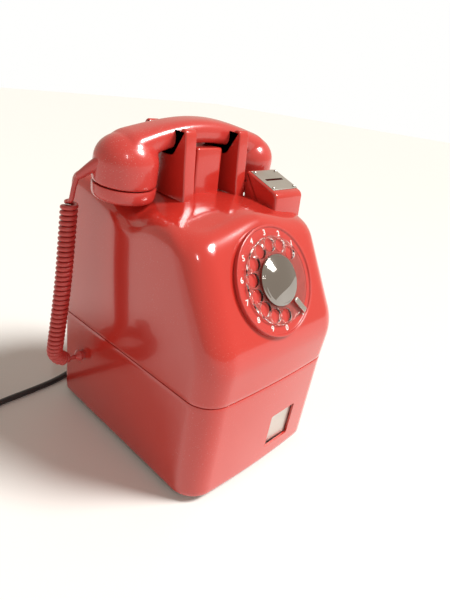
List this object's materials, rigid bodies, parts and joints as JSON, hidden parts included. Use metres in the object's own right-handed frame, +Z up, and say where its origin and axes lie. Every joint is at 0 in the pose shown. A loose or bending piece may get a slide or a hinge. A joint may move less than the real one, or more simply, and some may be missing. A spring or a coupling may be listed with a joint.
{
  "type": "rotary telephone",
  "caption": "Counter-top coin telephone with a leaning rotary dial, a fork cradle with its handset, a coin slot and a coin return flap.",
  "frame": {"origin": "on the table under the middle of the telephone's box, its free cords left out", "axes": "+Z up, +X to the right seen from the front, -Y out of the dial side"},
  "size_m": [0.3985, 0.3684, 0.3436],
  "materials": {
    "red_paint": "gloss",
    "red_plastic": "gloss",
    "red_vinyl": "satin",
    "clear_plastic": "clear gloss",
    "chrome": "polished",
    "plated_steel": "satin",
    "aluminium": "brushed",
    "brass": "satin",
    "black_plastic": "satin",
    "rubber": "matte",
    "black_vinyl": "satin"
  },
  "bodies": {
    "base": {"upper_housing": "red_paint", "lower_housing": "red_paint", "coin_head": "red_paint", "cradle_fork_left": "red_paint", "cradle_fork_right": "red_paint", "cradle_block": "red_paint", "number_plate": "red_plastic", "handset_cord": "red_vinyl", "handset_cord_upper": "red_vinyl", "cord_inlet": "red_vinyl", "lock_barrel": "chrome", "finger_stop": "plated_steel", "slot_plate_screw_1": "plated_steel", "slot_plate_screw_2": "plated_steel", "slot_plate_screw_3": "plated_steel", "slot_plate_screw_4": "plated_steel", "dial_can": "plated_steel", "return_spring_drum": "plated_steel", "base_plate": "plated_steel", "chassis_plate": "plated_steel", "coin_chute": "plated_steel", "cash_box": "plated_steel", "coin_return_cup": "plated_steel", "coin_return_pin": "plated_steel", "gong_post_front": "plated_steel", "gong_post_rear": "plated_steel", "coin_slot_plate": "aluminium", "governor_cup": "brass", "gong_front": "brass", "gong_rear": "brass", "pulse_contacts": "black_plastic", "hook_switch": "black_plastic", "ringer_coil": "black_plastic", "speech_network": "black_plastic", "line_plug": "black_plastic", "foot_front_left": "rubber", "foot_front_right": "rubber", "foot_rear_left": "rubber", "foot_rear_right": "rubber", "line_gland": "rubber", "line_cord": "black_vinyl", "line_cord_coil": "black_vinyl"},
    "handset": {"handset_handle": "red_plastic", "earpiece_cap": "red_plastic", "mouthpiece_cap": "red_plastic", "earpiece_capsule": "plated_steel", "mouthpiece_capsule": "plated_steel", "handset_boot": "red_vinyl"},
    "hook": {"hook_plunger_left": "black_plastic", "hook_plunger_right": "black_plastic", "hook_bar": "plated_steel"},
    "dial": {"finger_wheel": "clear_plastic", "centre_cap": "chrome", "dial_shaft": "plated_steel", "main_gear": "brass"},
    "governor": {"governor_pinion": "brass"},
    "coin_flap": {"coin_return_flap": "aluminium"},
    "lock": {"lock_plug": "brass"},
    "striker": {"clapper": "plated_steel"}
  },
  "joints": [
    {"name": "handset_lift", "type": "slide", "parent": "base", "child": "handset", "axis": [0, 0, 1], "range_m": [0, 0.1]},
    {"name": "hook_travel", "type": "slide", "parent": "base", "child": "hook", "axis": [0, 0, 1], "range_m": [0, 0.006]},
    {"name": "dial_turn", "type": "hinge", "parent": "base", "child": "dial", "pos_m": [0, -0.1024, 0.215], "axis": [0, 0.8891, -0.4577], "range_deg": [0, 323], "stiffness_Nm_per_rad": 0.004, "springref_deg": -28.65},
    {"name": "governor_spin", "type": "hinge", "parent": "base", "child": "governor", "pos_m": [-0.02015, -0.09617, 0.2118], "axis": [0, 0.8891, -0.4577], "range_deg": [-990, 12]},
    {"name": "flap_swing", "type": "hinge", "parent": "base", "child": "coin_flap", "pos_m": [0.0267, -0.11685, 0.06588], "axis": [1, 0, 0], "range_deg": [0, 42], "stiffness_Nm_per_rad": 0.001, "springref_deg": -40.11},
    {"name": "lock_turn", "type": "hinge", "parent": "base", "child": "lock", "pos_m": [0.055, 0.12885, 0.06], "axis": [0, 1, 0], "range_deg": [0, 90]},
    {"name": "clapper_swing", "type": "hinge", "parent": "base", "child": "striker", "pos_m": [-0.028, 0.0365, 0.06], "axis": [0, 0, 1], "range_deg": [-4, 4], "stiffness_Nm_per_rad": 0.01}
  ],
  "couplings": [
    {"joint": "hook_travel", "follows": "handset_lift", "ratio": 0.06},
    {"joint": "governor_spin", "follows": "dial_turn", "ratio": -3}
  ]
}
